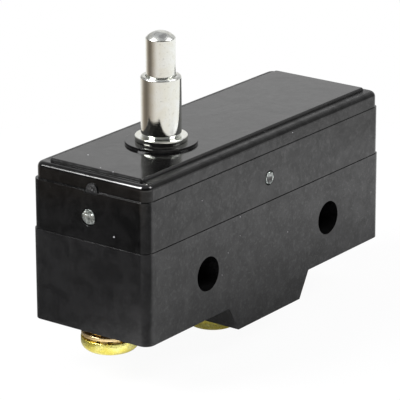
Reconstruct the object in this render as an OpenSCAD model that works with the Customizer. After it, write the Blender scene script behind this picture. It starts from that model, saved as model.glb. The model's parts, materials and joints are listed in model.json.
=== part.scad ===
// Pushbutton micro switch: a large basic switch with a slim spring plunger and screw terminals.
// The origin lies midway between the two mounting holes, on their axes, at half the width.
// X runs along the case, away from the plunger. Y runs along the mounting holes. Z points up.

/* [Case] */
// Length of the case
case_length = 49.2; // [46:0.1:54]
// Width of the case
case_width = 17.45; // [16:0.05:20]
// Depth of the base below the mounting holes' axes
base_drop = 5.77; // [5.4:0.01:6.6]
// Height of the parting line above the mounting holes' axes
parting_height = 5.67; // [5.3:0.01:6.3]
// Radius of the upright corners
corner_radius = 1.2; // [0.8:0.1:1.6]
// Wall of the tongue that the cover slips over
tongue_wall = 1.0; // [0.8:0.05:1.2]
// Height of the tongue above the parting line
tongue_height = 5.2; // [4.5:0.1:5.8]
// Radius of the contact chamber's upright corners
chamber_radius = 0.6; // [0.3:0.1:1]
// Height of the contact chamber's floor above the mounting holes' axes
floor_height = 4.0; // [3.6:0.1:4.4]
// Thickness of the chamber's floor over the terminal bushes
floor_wall = 1.0; // [0.8:0.1:1.2]

/* [Foot] */
// Depth of the middle foot below the base
foot_drop = 3.33; // [3:0.01:3.8]
// Length of the foot where it meets the base
foot_top_length = 16.92; // [15:0.02:19]
// Length of the foot's flat underside
foot_bottom_length = 13.04; // [12:0.02:14.5]

/* [Mounting holes] */
// Distance between the mounting holes
hole_spacing = 25.4; // [23:0.1:27.5]
// Diameter of the mounting holes
hole_diameter = 4.3; // [3.6:0.05:5]

/* [Cover] */
// Height of the cover from the parting line to its top face
cover_height = 8.63; // [8:0.01:10]
// Step in from the base to the cover's lower band
lower_band_inset = 0.11; // [0.05:0.01:0.3]
// Height of the lower band above the parting line
lower_band_height = 6.23; // [5.5:0.01:6.6]
// Step in from the lower band to the upper band, at the plunger's end
plunger_end_step = 0.34; // [0.1:0.01:0.5]
// Step in from the lower band to the upper band, at the far end
far_end_step = 0.13; // [0.1:0.01:0.5]
// Step in from the lower band to the upper band, on the sides
side_step = 0.13; // [0.1:0.01:0.4]
// Radius of the upper band's top edge
rim_radius = 0.7; // [0.4:0.05:0.9]
// Step in from the upper band to the raised top face, along the case
plateau_end_inset = 1.02; // [0.9:0.02:1.3]
// Step in from the upper band to the raised top face, across the case
plateau_side_inset = 1.55; // [0.9:0.01:1.6]
// Height of the raised top face above the rim
plateau_height = 0.38; // [0.3:0.02:0.6]
// Radius of the raised top face's corners
plateau_radius = 0.4; // [0.35:0.05:1]
// Radius of the raised top face's edge
plateau_edge = 0.3; // [0.1:0.01:0.34]
// Wall of the cover's skirt at the lower band
skirt_wall = 1.15; // [1:0.01:1.4]
// Thickness of the cover's top
top_wall = 1.7; // [1.4:0.05:2]
// Play between the skirt and the tongue
skirt_gap = 0.05; // [0.02:0.01:0.1]
// Diameter of the moulding gate's stub on the end face
gate_diameter = 2.0; // [1:0.1:2.2]
// Distance of the stub's middle from the case's middle plane, towards the near side
gate_offset = 0.4; // [0:0.1:1]
// Height of the stub's domed end
gate_dome = 0.25; // [0.1:0.05:0.3]

/* [Cover pins] */
// Diameter of the pins in the end faces
end_pin_diameter = 1.9; // [1.2:0.05:2.2]
// Diameter of the pins in the side faces
side_pin_diameter = 1.6; // [1.2:0.05:2.2]
// Height of the pins above the parting line
pin_rise = 3.0; // [2.5:0.05:3.4]
// Width of the dark ring between a pin and the cover
pin_ring = 0.12; // [0.08:0.02:0.3]
// How far a pin stands out of the cover
pin_proud = 0.1; // [0.05:0.01:0.2]
// Drop on each side of the ridge where an end pin was nipped off
nip_drop = 0.2; // [0.1:0.02:0.3]
// Depth of the dish in a side pin's end
dish_depth = 0.25; // [0.1:0.05:0.3]
// Width of the rim round a side pin's dish
dish_rim = 0.15; // [0.1:0.05:0.3]

/* [Plunger] */
// Distance of the plunger's axis from the middle of the case
plunger_offset = 10.35; // [9.5:0.05:11.5]
// Diameter of the round boss on the cover
boss_diameter = 8.85; // [8:0.05:10]
// Height of the boss
boss_height = 0.35; // [0.2:0.05:0.6]
// Diameter of the sleeve's flange
flange_diameter = 6.4; // [6.2:0.1:7.5]
// Height of the sleeve's flange
flange_height = 0.64; // [0.4:0.02:1]
// Diameter of the sleeve
sleeve_diameter = 4.96; // [4.8:0.02:5.5]
// Height of the sleeve above its flange
sleeve_height = 7.43; // [6:0.01:9]
// Chamfer round the sleeve's top
sleeve_edge = 0.2; // [0.1:0.02:0.3]
// Height of the undercut above the flange
undercut_height = 0.3; // [0.2:0.02:0.5]
// Depth of the undercut above the flange
undercut_depth = 0.15; // [0.05:0.01:0.25]
// Diameter of the plunger's pin
pin_diameter = 3.62; // [3.3:0.02:3.8]
// Height of the pin's rim above the sleeve, with the plunger free
pin_height = 4.59; // [3.5:0.01:6]
// Height of the pin's domed end above its rim
dome_height = 0.87; // [0.4:0.01:1]
// Travel of the pin
travel = 2.0; // [1.6:0.1:2.2]
// Step from the pin to the collar that stops it
collar_step = 0.32; // [0.2:0.02:0.4]
// Height of the collar
collar_height = 0.95; // [0.7:0.05:1.2]
// Running gap round the pin and the inner plunger
running_gap = 0.04; // [0.02:0.01:0.08]
// Diameter of the sleeve's stem below the flange
stem_diameter = 5.6; // [5.4:0.1:6]

/* [Inner plunger and spring] */
// Travel of the inner plunger
inner_travel = 0.5; // [0.4:0.05:0.6]
// Diameter of the inner plunger
inner_diameter = 3.0; // [2.6:0.1:3.4]
// Step round the inner plunger's flange
inner_flange_step = 1.2; // [0.9:0.05:1.2]
// Height of the inner plunger's flange
inner_flange_height = 0.35; // [0.3:0.01:0.5]
// Height of the inner plunger's domed nose
nose_dome = 0.3; // [0.2:0.05:0.4]
// Length of the nose below its cup
nose_reach = 0.63; // [0.55:0.01:0.8]
// Wall of the cup that retains the inner plunger
cup_wall = 0.75; // [0.5:0.05:1]
// Thickness of the cup's bottom
cup_bottom = 0.8; // [0.6:0.05:1]
// Diameter of the cup's flange under the cover
cup_flange_diameter = 8.6; // [8:0.1:9.4]
// Thickness of the cup's flange
cup_flange_height = 0.6; // [0.4:0.05:0.8]
// Diameter of the spring's wire
wire_diameter = 0.3; // [0.2:0.02:0.36]
// Mean diameter of the spring's turns
coil_diameter = 1.9; // [1.7:0.05:2]
// Turns of the spring
coil_turns = 9; // [6:1:12]
// Depth of the spring's bore in the pin
spring_bore_depth = 6.8; // [5:0.1:8]

/* [Terminals] */
// Distance from the case's ends to the end screws
terminal_inset = 3.9; // [3.7:0.1:4.2]
// Diameter of the terminal bushes
bush_diameter = 6.0; // [5.4:0.1:6.4]
// How far a bush stands out of the case
bush_proud = 0.65; // [0.3:0.05:0.8]
// Thread diameter of the terminal screws
screw_diameter = 4.0; // [3:0.1:4.2]
// Length of a terminal screw under its head
screw_length = 6.5; // [5:0.5:8]
// Depth of a bush's thread beyond the screw
thread_runout = 1.0; // [0.5:0.1:1.5]
// Diameter of a screw's head
head_diameter = 7.1; // [6.4:0.1:7.6]
// Height of a screw's head
head_height = 1.7; // [1.6:0.05:2.6]
// Radius of the head's outer edge
head_edge = 1.1; // [0.4:0.1:1.2]
// Width of the head's slot and cross
slot_width = 0.9; // [0.6:0.1:1.2]
// Depth of the slot
slot_depth = 1.0; // [0.6:0.1:1.2]
// Length of the bar that makes the slot a cross
cross_length = 4.3; // [3.6:0.1:5]
// Depth of that bar
cross_depth = 1.2; // [1:0.1:1.4]
// Diameter of a plain washer
washer_diameter = 7.0; // [6.8:0.1:7.6]
// Thickness of a plain washer
washer_thickness = 0.45; // [0.3:0.05:0.7]
// Diameter over the teeth of a toothed washer
tooth_diameter = 6.7; // [6.4:0.1:6.8]
// Diameter of the ring that carries the teeth
tooth_ring_diameter = 5.8; // [5.2:0.1:6.2]
// Thickness of a toothed washer
tooth_thickness = 0.3; // [0.2:0.02:0.4]
// Width of a tooth
tooth_width = 0.9; // [0.6:0.05:1]
// Teeth round a toothed washer
tooth_count = 14; // [10:1:16]

/* [Contacts] */
// Thickness of the terminal brackets
bracket_thickness = 0.8; // [0.6:0.05:1]
// Width of the fixed contacts' brackets
bracket_width = 5.0; // [4:0.1:6]
// Radius of a bracket's folds at half its thickness
fold_radius = 0.8; // [0.6:0.05:1]
// Diameter of a bush's stem through the chamber's floor
rivet_diameter = 2.2; // [1.6:0.1:2.4]
// Diameter of a stem's riveted head
rivet_head_diameter = 2.8; // [2.6:0.1:3]
// Height of a stem's riveted head
rivet_head_height = 0.5; // [0.3:0.05:0.7]
// Thickness of the snap blade
blade_thickness = 0.22; // [0.15:0.01:0.3]
// Height of the snap blade above the chamber's floor
blade_lift = 4.4; // [4.1:0.05:4.8]
// Width of the snap blade across its three legs
blade_width = 8.0; // [7:0.1:9]
// Width of the blade's middle leg
middle_leg_width = 2.6; // [2:0.1:3]
// Width of the slots between the legs
leg_slot = 0.5; // [0.4:0.05:0.7]
// Bow of the blade's outer legs
leg_bow = 1.0; // [0.6:0.05:1.4]
// Distance from the contacts to the fork of the legs
fork_offset = 5.5; // [5:0.1:6.5]
// Width of the blade at its tip
tip_width = 4.0; // [3:0.1:5]
// Length of the plate that clamps the blade's root
clamp_length = 3.6; // [3.2:0.1:4]
// Width of the plate that clamps the blade's root
clamp_width = 5.2; // [4:0.1:6]
// Thickness of the plate that clamps the blade's root
clamp_thickness = 0.5; // [0.3:0.05:0.8]
// Distance from the plunger to the notches of the outer legs
notch_offset = 3.55; // [3.2:0.05:4.2]
// Depth of the notches below the blade
notch_drop = 0.6; // [0.4:0.05:0.8]
// Distance of the contacts from the closed circuit's screw
contact_offset = 6.2; // [5.8:0.1:7]
// Distance from the contacts back to the open contact's step
open_step_offset = 6.5; // [5.5:0.1:7.5]
// Diameter of the contacts' heads
contact_diameter = 3.0; // [2.6:0.1:3.4]
// Height of the contacts' heads
contact_head = 0.45; // [0.3:0.05:0.6]
// Diameter of the contacts' shanks
shank_diameter = 1.5; // [1:0.1:1.8]
// Diameter of the fixed contacts' peened ends
peened_diameter = 2.4; // [2:0.1:3]
// Open gap between the contacts
contact_gap = 0.5; // [0.3:0.05:0.7]

/* [Hidden] */
$fn = 64;

// Overlap that joins solids and lets a cut break cleanly through a face
cut = 0.5;
// Gap between pieces that touch in use but belong to different moving groups
touch_gap = 0.05;
// Gap round a piece that is pressed or moulded into another
seat_gap = 0.01;
// Play between the spring and what guides it
spring_play = 0.1;
// Bare metal left round a contact or beside a fold
metal_margin = 0.4;
// Angle at which each terminal screw came to rest
screw_turns = [120, 125, 80];

// Heights of the case and cover
base_z = -base_drop;
foot_z = base_z - foot_drop;
tongue_z = parting_height + tongue_height;
cover_z = parting_height + cover_height;
band_z = parting_height + lower_band_height;
rim_z = cover_z - plateau_height;
ceiling_z = cover_z - top_wall;
pin_z = parting_height + pin_rise;

// Half sizes of each level, as [along the case, across it]
base_half = [case_length, case_width] / 2;
lower_half = base_half - [1, 1] * lower_band_inset;
upper_half = lower_half - [(plunger_end_step + far_end_step) / 2, side_step];
plateau_half = upper_half - [plateau_end_inset, plateau_side_inset];
skirt_half = lower_half - [1, 1] * skirt_wall;
tongue_half = skirt_half - [1, 1] * skirt_gap;
chamber_half = tongue_half - [1, 1] * tongue_wall;
// How far the upper band and the raised top face lie towards the far end
upper_shift = (plunger_end_step - far_end_step) / 2;

// Terminals: the common one at the plunger's end, the open one in the middle, the closed one at the far end
closed_x = case_length / 2 - terminal_inset;
open_x = 0;
common_x = -closed_x;
screw_seats = [[common_x, base_z], [open_x, foot_z], [closed_x, base_z]];
bush_top_z = floor_height - floor_wall;
strip_z = floor_height + bracket_thickness / 2;
strip_top = floor_height + bracket_thickness;

// Each terminal's stack, going down from its seat
washer_drop = bush_proud + washer_thickness;
head_drop = washer_drop + tooth_thickness;

// Snap blade
plunger_x = -plunger_offset;
contact_x = closed_x - contact_offset;
blade_z = floor_height + blade_lift;
blade_top = blade_z + blade_thickness;
blade_middle = blade_z + blade_thickness / 2;
blade_root_x = common_x - rivet_head_diameter / 2;
blade_tip_x = contact_x + contact_diameter / 2 + metal_margin;
fork_x = contact_x - fork_offset;
leg_width = (blade_width - middle_leg_width) / 2 - leg_slot;
leg_y = (blade_width - leg_width) / 2;
notch_x = plunger_x + notch_offset;
notch_z = blade_middle - notch_drop;
notch_depth = bracket_thickness / 2;
ear_x = notch_x + notch_depth - bracket_thickness / 2;
ear_top = notch_z + bracket_thickness;

// Contact faces and the shelves that carry them
open_face = blade_z - contact_head - contact_gap;
closed_face = blade_top + contact_head + touch_gap;
open_shelf = open_face - contact_head;
closed_shelf = closed_face + contact_head;
open_step_x = contact_x - open_step_offset;
closed_riser_x = closed_x - rivet_head_diameter / 2 - fold_radius - metal_margin / 4;
closed_shelf_end = contact_x - contact_diameter / 2 - metal_margin;

// Plunger parts that follow the blade, going up
nose_z = blade_top + touch_gap;
cup_z = nose_z + nose_reach;
inner_flange_z = cup_z + cup_bottom + inner_travel + touch_gap;
inner_flange_top = inner_flange_z + inner_flange_height;
stem_z = inner_flange_top + touch_gap;
collar_z = stem_z + travel + metal_margin / 2;
stop_z = collar_z + collar_height + touch_gap;
spring_top = collar_z + spring_bore_depth;

// Plunger parts that follow the cover, going up
boss_z = cover_z + boss_height;
flange_z = boss_z + flange_height;
sleeve_z = flange_z + sleeve_height;
pin_rim_z = sleeve_z + pin_height;
pin_top = pin_rim_z + dome_height;

// Radii of the plunger parts
pin_radius = pin_diameter / 2;
collar_radius = pin_radius + collar_step;
inner_radius = inner_diameter / 2;
sleeve_bore = pin_radius + running_gap;
stem_bore = collar_radius + running_gap;
stem_radius = stem_diameter / 2;

// Rectangle with round corners, about the origin, from its half sizes
module rounded_rect(half, radius) {
    square([2 * half[0], 2 * (half[1] - radius)], center = true);
    square([2 * (half[0] - radius), 2 * half[1]], center = true);
    for (sx = [-1, 1], sy = [-1, 1])
        translate([sx * (half[0] - radius), sy * (half[1] - radius)]) circle(radius);
}

// Upright block with round corners between two heights
module block(half, radius, low, high) {
    translate([0, 0, low]) linear_extrude(high - low) rounded_rect(half, radius);
}

// Side view of a block with its two top corners rounded
module arched_rect(half_width, low, high, radius) {
    translate([-half_width, low]) square([2 * half_width, high - low - radius]);
    translate([radius - half_width, low]) square([2 * (half_width - radius), high - low]);
    for (side = [-1, 1]) translate([side * (half_width - radius), high - radius]) circle(radius);
}

// Outline in X and Z, extruded across the case by a width
module across(width) {
    rotate([90, 0, 0]) linear_extrude(width, center = true) children();
}

// Upright post between two heights, with a round top edge
module soft_post(radius, low, high, edge) {
    rotate_extrude() {
        translate([0, low]) square([radius, high - low - edge]);
        translate([0, low]) square([radius - edge, high - low]);
        translate([radius - edge, high - edge]) intersection() {
            circle(edge);
            square(edge);
        }
    }
}

// Upright block with round corners and a round top edge
module soft_block(half, radius, low, high, edge) {
    inner = half - [1, 1] * radius;
    across(2 * inner[1]) arched_rect(half[0], low, high, edge);
    rotate([0, 0, 90]) across(2 * inner[0]) arched_rect(half[1], low, high, edge);
    for (sx = [-1, 1], sy = [-1, 1])
        translate([sx * inner[0], sy * inner[1], 0]) soft_post(radius, low, high, edge);
}

// Upright rod between two heights, on the case's middle plane
module rod(x, radius, low, high) {
    translate([x, 0, low]) cylinder(r = radius, h = high - low);
}

// Radius of the ball whose cap has a given base radius and height
function cap_ball(radius, height) = (radius * radius + height * height) / (2 * height);

// Round pin with a domed end, pointing along +Z from its flat end
module domed_pin(radius, length, dome) {
    ball = cap_ball(radius, dome);
    cylinder(r = radius, h = length - dome);
    intersection() {
        translate([0, 0, length - 2 * dome]) cylinder(r = radius, h = 2 * dome);
        translate([0, 0, length - ball]) sphere(ball);
    }
}

// Unit vector along v
function unit(v) = v / norm(v);

// v turned a quarter turn to the left
function left_of(v) = [-v[1], v[0]];

// Points of a path with each inner corner rounded to a radius
function rounded_path(path, radius, steps = 6) = [
    path[0],
    for (i = [1 : len(path) - 2])
        let (
            back = unit(path[i - 1] - path[i]),
            ahead = unit(path[i + 1] - path[i]),
            half = acos(back * ahead) / 2,
            centre = path[i] + unit(back + ahead) * radius / sin(half),
            first = path[i] + back * radius / tan(half) - centre,
            turn = sign(back[1] * ahead[0] - back[0] * ahead[1]) * (180 - 2 * half),
            start = atan2(first[1], first[0])
        )
        for (k = [0 : steps])
            let (angle = start + turn * k / steps)
            centre + radius * [cos(angle), sin(angle)],
    path[len(path) - 1]
];

// Direction of a path at its point i
function heading(path, i) = unit(path[min(i + 1, len(path) - 1)] - path[max(i - 1, 0)]);

// Outline of a strip of even thickness along a path
function strip_outline(path, thickness) = concat(
    [for (i = [0 : len(path) - 1]) path[i] + left_of(heading(path, i)) * thickness / 2],
    [for (i = [len(path) - 1 : -1 : 0]) path[i] - left_of(heading(path, i)) * thickness / 2]
);

// Sheet metal strip folded along a path in X and Z
module folded_strip(path, width) {
    across(width) polygon(strip_outline(rounded_path(path, fold_radius), bracket_thickness));
}

// Outline of the foot in X and Z
module foot_outline() {
    top = foot_top_length / 2;
    bottom = foot_bottom_length / 2;
    polygon([
        [-top, base_z + cut], [-top, base_z], [-bottom, foot_z],
        [bottom, foot_z], [top, base_z], [top, base_z + cut]
    ]);
}

// Holes for the cover pins, wider than each pin by a gap
module pin_holes(gap) {
    for (side = [-1, 1]) {
        translate([side * base_half[0], 0, pin_z]) rotate([0, -90 * side, 0])
            cylinder(d = end_pin_diameter + 2 * gap, h = base_half[0] - chamber_half[0] + cut);
        translate([0, side * base_half[1], pin_z]) rotate([90 * side, 0, 0])
            cylinder(d = side_pin_diameter + 2 * gap, h = base_half[1] - chamber_half[1] + cut);
    }
}

module case() {
    color([0.07, 0.07, 0.075]) difference() {
        union() {
            block(base_half, corner_radius, base_z, parting_height);
            block(tongue_half, corner_radius, parting_height - cut, tongue_z);
            across(case_width) foot_outline();
        }
        block(chamber_half, chamber_radius, floor_height, tongue_z + cut);
        for (side = [-1, 1]) translate([side * hole_spacing / 2, 0, 0]) rotate([90, 0, 0])
            cylinder(d = hole_diameter, h = case_width + 2 * cut, center = true);
        for (seat = screw_seats) {
            rod(seat[0], bush_diameter / 2 + seat_gap, seat[1] - cut, bush_top_z);
            rod(seat[0], rivet_diameter / 2 + seat_gap, bush_top_z - cut, floor_height + cut);
        }
        pin_holes(seat_gap);
    }
}

// Stub of the moulding gate on the end face beside the plunger, level with the lower band's face
module gate_stub() {
    translate([cut + plunger_end_step - lower_half[0], -gate_offset, band_z]) rotate([0, -90, 0])
        domed_pin(gate_diameter / 2, cut + plunger_end_step, gate_dome);
}

module cover() {
    color([0.06, 0.06, 0.065]) difference() {
        union() {
            block(lower_half, corner_radius, parting_height, band_z);
            translate([upper_shift, 0, 0]) {
                soft_block(upper_half, corner_radius, band_z - cut, rim_z, rim_radius);
                soft_block(plateau_half, plateau_radius, rim_z - cut, cover_z, plateau_edge);
            }
            rod(plunger_x, boss_diameter / 2, cover_z - cut, boss_z);
            gate_stub();
        }
        block(skirt_half, corner_radius, parting_height - cut, ceiling_z);
        rod(plunger_x, stem_radius + seat_gap, ceiling_z - cut, boss_z + cut);
        pin_holes(pin_ring);
    }
}

// Round pin nipped off to a ridge across its end, pointing along +Z from its flat end
module nipped_pin(radius, length, drop) {
    intersection() {
        cylinder(r = radius, h = length);
        across(2 * radius) polygon([
            [-radius, 0], [radius, 0], [radius, length - drop], [0, length], [-radius, length - drop]
        ]);
    }
}

// Round pin with a dished end, pointing along +Z from its flat end
module dished_pin(radius, length, dish_radius, depth) {
    ball = cap_ball(dish_radius, depth);
    difference() {
        cylinder(r = radius, h = length);
        translate([0, 0, length + ball - depth]) sphere(ball);
    }
}

module cover_pins() {
    reach = lower_half - chamber_half + [1, 1] * pin_proud;
    side_radius = side_pin_diameter / 2;
    color([0.75, 0.75, 0.74]) for (side = [-1, 1]) {
        translate([side * chamber_half[0], 0, pin_z]) rotate([0, 90 * side, 0])
            nipped_pin(end_pin_diameter / 2, reach[0], nip_drop);
        translate([0, side * chamber_half[1], pin_z]) rotate([-90 * side, 0, 0])
            dished_pin(side_radius, reach[1], side_radius - dish_rim, dish_depth);
    }
}

module plunger_sleeve() {
    outer_radius = sleeve_diameter / 2;
    neck_radius = outer_radius - undercut_depth;
    color([0.85, 0.84, 0.8]) translate([plunger_x, 0, 0]) rotate_extrude() polygon([
        [stem_bore, stem_z], [stem_radius, stem_z], [stem_radius, boss_z],
        [flange_diameter / 2, boss_z], [flange_diameter / 2, flange_z], [neck_radius, flange_z],
        [neck_radius, flange_z + undercut_height / 2], [outer_radius, flange_z + undercut_height],
        [outer_radius, sleeve_z - sleeve_edge], [outer_radius - sleeve_edge, sleeve_z],
        [sleeve_bore, sleeve_z], [sleeve_bore, stop_z], [stem_bore, stop_z]
    ]);
}

module retainer_cup() {
    bore = stem_radius + seat_gap;
    lip_bore = inner_radius + running_gap;
    outer = stem_radius + cup_wall;
    flange = cup_flange_diameter / 2;
    color([0.72, 0.72, 0.7]) translate([plunger_x, 0, 0]) rotate_extrude() polygon([
        [lip_bore, cup_z], [outer, cup_z], [outer, ceiling_z - cup_flange_height],
        [flange, ceiling_z - cup_flange_height], [flange, ceiling_z], [bore, ceiling_z],
        [bore, cup_z + cup_bottom], [lip_bore, cup_z + cup_bottom]
    ]);
}

module plunger_pin() {
    color([0.88, 0.87, 0.83]) difference() {
        union() {
            translate([plunger_x, 0, collar_z]) domed_pin(pin_radius, pin_top - collar_z, dome_height);
            rod(plunger_x, collar_radius, collar_z, collar_z + collar_height);
        }
        rod(plunger_x, (coil_diameter + wire_diameter) / 2 + spring_play, collar_z - cut, spring_top);
    }
}

// Wire swept along a helix, from its own points and faces
module coil(low, high, mean_radius, wire_radius, turns) {
    sides = 6;
    rings_per_turn = 12;
    rings = turns * rings_per_turn;
    points = [
        for (i = [0 : rings], s = [0 : sides - 1])
            let (
                angle = 360 * i / rings_per_turn,
                reach = mean_radius + wire_radius * cos(360 * s / sides),
                height = low + (high - low) * i / rings + wire_radius * sin(360 * s / sides)
            )
            [reach * cos(angle), reach * sin(angle), height]
    ];
    skin = [
        for (i = [0 : rings - 1], s = [0 : sides - 1])
            let (a = i * sides + s, b = i * sides + (s + 1) % sides)
            each [[a, a + sides, b + sides], [a, b + sides, b]]
    ];
    caps = [
        [for (s = [0 : sides - 1]) s],
        [for (s = [sides - 1 : -1 : 0]) rings * sides + s]
    ];
    polyhedron(points, concat(skin, caps), convexity = 10);
}

module overtravel_spring() {
    wire_radius = wire_diameter / 2;
    low = inner_flange_top + wire_radius;
    high = spring_top - wire_radius;
    color([0.6, 0.6, 0.62]) translate([plunger_x, 0, 0])
        coil(low, high, coil_diameter / 2, wire_radius, coil_turns);
}

module inner_plunger() {
    spigot_radius = (coil_diameter - wire_diameter) / 2 - spring_play;
    spigot_height = 2 * wire_diameter;
    color([0.45, 0.2, 0.12]) {
        translate([plunger_x, 0, inner_flange_top]) mirror([0, 0, 1])
            domed_pin(inner_radius, inner_flange_top - nose_z, nose_dome);
        rod(plunger_x, inner_radius + inner_flange_step, inner_flange_z, inner_flange_top);
        rod(plunger_x, spigot_radius, inner_flange_z, inner_flange_top + spigot_height);
    }
}

// Flat outline of the snap blade's root, middle leg and free end
module blade_outline() {
    root_end = blade_root_x + clamp_length;
    leg_start = root_end + (clamp_width - middle_leg_width) / 2;
    for (side = [0, 1]) mirror([0, side]) polygon([
        [blade_root_x, 0], [blade_root_x, clamp_width / 2], [root_end, clamp_width / 2],
        [leg_start, middle_leg_width / 2], [fork_x, middle_leg_width / 2], [fork_x, blade_width / 2],
        [contact_x, blade_width / 2], [blade_tip_x, tip_width / 2], [blade_tip_x, 0]
    ]);
}

// Bowed path of an outer leg from its notch to the free end
function leg_path(steps = 14) = [
    for (i = [0 : steps])
        let (
            s = i / steps,
            from = [notch_x + blade_thickness, notch_z],
            to = [fork_x + metal_margin, blade_middle]
        )
        from + (to - from) * s + [0, 4 * leg_bow * s * (1 - s)]
];

module snap_blade() {
    color([0.78, 0.6, 0.35]) difference() {
        union() {
            translate([0, 0, blade_z]) linear_extrude(blade_thickness) blade_outline();
            for (side = [-1, 1]) translate([0, side * leg_y, 0])
                across(leg_width) polygon(strip_outline(leg_path(), blade_thickness));
        }
        rod(common_x, rivet_diameter / 2 + seat_gap, blade_z - cut, blade_top + cut);
        rod(contact_x, shank_diameter / 2 + seat_gap, blade_z - cut, blade_top + cut);
    }
}

module blade_clamp() {
    color([0.7, 0.7, 0.68]) difference() {
        translate([blade_root_x, -clamp_width / 2, blade_top])
            cube([clamp_length, clamp_width, clamp_thickness]);
        rod(common_x, rivet_diameter / 2 + seat_gap, blade_top - cut, blade_top + clamp_thickness + cut);
    }
}

module blade_spacer() {
    color([0.8, 0.64, 0.3]) difference() {
        rod(common_x, rivet_head_diameter / 2, strip_top, blade_z);
        rod(common_x, rivet_diameter / 2 + seat_gap, strip_top - cut, blade_z + cut);
    }
}

// Contact riveted through a sheet between two heights, with a head on each side
module contact_rivet(low, high, lower_head, upper_head, lower_diameter, upper_diameter) {
    rod(contact_x, lower_diameter / 2, low - lower_head, low);
    rod(contact_x, shank_diameter / 2, low - lower_head / 2, high + upper_head / 2);
    rod(contact_x, upper_diameter / 2, high, high + upper_head);
}

module moving_contact() {
    color([0.86, 0.86, 0.85]) contact_rivet(
        blade_z, blade_top, contact_head, contact_head, contact_diameter, contact_diameter
    );
}

module open_contact() {
    color([0.86, 0.86, 0.85]) contact_rivet(
        open_shelf - bracket_thickness, open_shelf, contact_head / 2, contact_head, peened_diameter,
        contact_diameter
    );
}

module closed_contact() {
    color([0.86, 0.86, 0.85]) contact_rivet(
        closed_shelf, closed_shelf + bracket_thickness, contact_head, contact_head / 2, contact_diameter,
        peened_diameter
    );
}

// Threaded bush in the case, with a stem that is riveted over at a height
module bush(x, seat_z, rivet_z) {
    low = seat_z - bush_proud;
    color([0.8, 0.64, 0.3]) difference() {
        union() {
            rod(x, bush_diameter / 2, low, bush_top_z);
            rod(x, rivet_diameter / 2, bush_top_z - cut, rivet_z + rivet_head_height / 2);
            rod(x, rivet_head_diameter / 2, rivet_z, rivet_z + rivet_head_height);
        }
        rod(x, screw_diameter / 2 + seat_gap, low - cut, low + screw_length + thread_runout);
    }
}

module common_bush() {
    bush(common_x, base_z, blade_top + clamp_thickness);
}

module open_bush() {
    bush(open_x, foot_z, strip_top);
}

module closed_bush() {
    bush(closed_x, base_z, strip_top);
}

// Clearance hole for a bush's stem in a bracket on the chamber's floor
module stem_hole(x) {
    rod(x, rivet_diameter / 2 + seat_gap, floor_height - cut, strip_top + cut);
}

// Folded up at its end into two ears, with a notch across them for the blade's outer legs
module common_bracket() {
    ear_gap = middle_leg_width + 2 * leg_slot;
    color([0.8, 0.64, 0.3]) difference() {
        folded_strip([[blade_root_x, strip_z], [ear_x, strip_z], [ear_x, ear_top]], blade_width);
        translate([ear_x - bracket_thickness, -ear_gap / 2, strip_top + fold_radius])
            cube([2 * bracket_thickness, ear_gap, ear_top - strip_z]);
        across(blade_width + 2 * cut) polygon([
            [notch_x, notch_z], [notch_x + 2 * notch_depth, notch_z + 2 * notch_depth],
            [notch_x + 2 * notch_depth, notch_z - 2 * notch_depth]
        ]);
        stem_hole(common_x);
    }
}

module open_bracket() {
    shelf_z = open_shelf - bracket_thickness / 2;
    color([0.8, 0.64, 0.3]) difference() {
        folded_strip([
            [open_x - bracket_width / 2, strip_z], [open_step_x, strip_z], [open_step_x, shelf_z],
            [blade_tip_x, shelf_z]
        ], bracket_width);
        stem_hole(open_x);
        rod(contact_x, shank_diameter / 2 + seat_gap, shelf_z - bracket_thickness, open_face);
    }
}

module closed_bracket() {
    shelf_z = closed_shelf + bracket_thickness / 2;
    color([0.8, 0.64, 0.3]) difference() {
        folded_strip([
            [closed_x + rivet_head_diameter / 2, strip_z], [closed_riser_x, strip_z],
            [closed_riser_x, shelf_z], [closed_shelf_end, shelf_z]
        ], bracket_width);
        stem_hole(closed_x);
        rod(contact_x, shank_diameter / 2 + seat_gap, closed_face, shelf_z + bracket_thickness);
    }
}

// Half outline of a pan head that hangs down from height 0
module pan_head_outline() {
    radius = head_diameter / 2;
    translate([0, head_edge - head_height]) square([radius, head_height - head_edge]);
    translate([0, -head_height]) square([radius - head_edge, head_height]);
    translate([radius - head_edge, head_edge - head_height]) intersection() {
        circle(head_edge);
        translate([0, -head_edge]) square(head_edge);
    }
}

module terminal_screw() {
    difference() {
        union() {
            rotate_extrude() pan_head_outline();
            translate([0, 0, -cut]) cylinder(d = screw_diameter, h = screw_length + cut);
        }
        translate([-head_diameter / 2, -slot_width / 2, -head_height - cut])
            cube([head_diameter, slot_width, slot_depth + cut]);
        translate([-slot_width / 2, -cross_length / 2, -head_height - cut])
            cube([slot_width, cross_length, cross_depth + cut]);
    }
}

module terminal_screws() {
    color([0.83, 0.72, 0.32]) for (i = [0 : len(screw_seats) - 1])
        translate([screw_seats[i][0], 0, screw_seats[i][1] - head_drop]) rotate([0, 0, screw_turns[i]])
            terminal_screw();
}

// Hole for a terminal screw through a washer
module washer_hole(thickness) {
    translate([0, 0, -cut]) cylinder(d = screw_diameter + 2 * running_gap, h = thickness + 2 * cut);
}

module plain_washers() {
    color([0.86, 0.7, 0.45]) for (seat = screw_seats)
        translate([seat[0], 0, seat[1] - washer_drop]) difference() {
            cylinder(d = washer_diameter, h = washer_thickness);
            washer_hole(washer_thickness);
        }
}

module toothed_washer() {
    difference() {
        union() {
            cylinder(d = tooth_ring_diameter, h = tooth_thickness);
            intersection() {
                cylinder(d = tooth_diameter, h = tooth_thickness);
                for (i = [0 : tooth_count - 1]) rotate([0, 0, 360 * i / tooth_count])
                    translate([0, -tooth_width / 2, 0]) cube([tooth_diameter, tooth_width, tooth_thickness]);
            }
        }
        washer_hole(tooth_thickness);
    }
}

module toothed_washers() {
    color([0.7, 0.55, 0.25]) for (seat = screw_seats)
        translate([seat[0], 0, seat[1] - head_drop]) toothed_washer();
}

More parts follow.
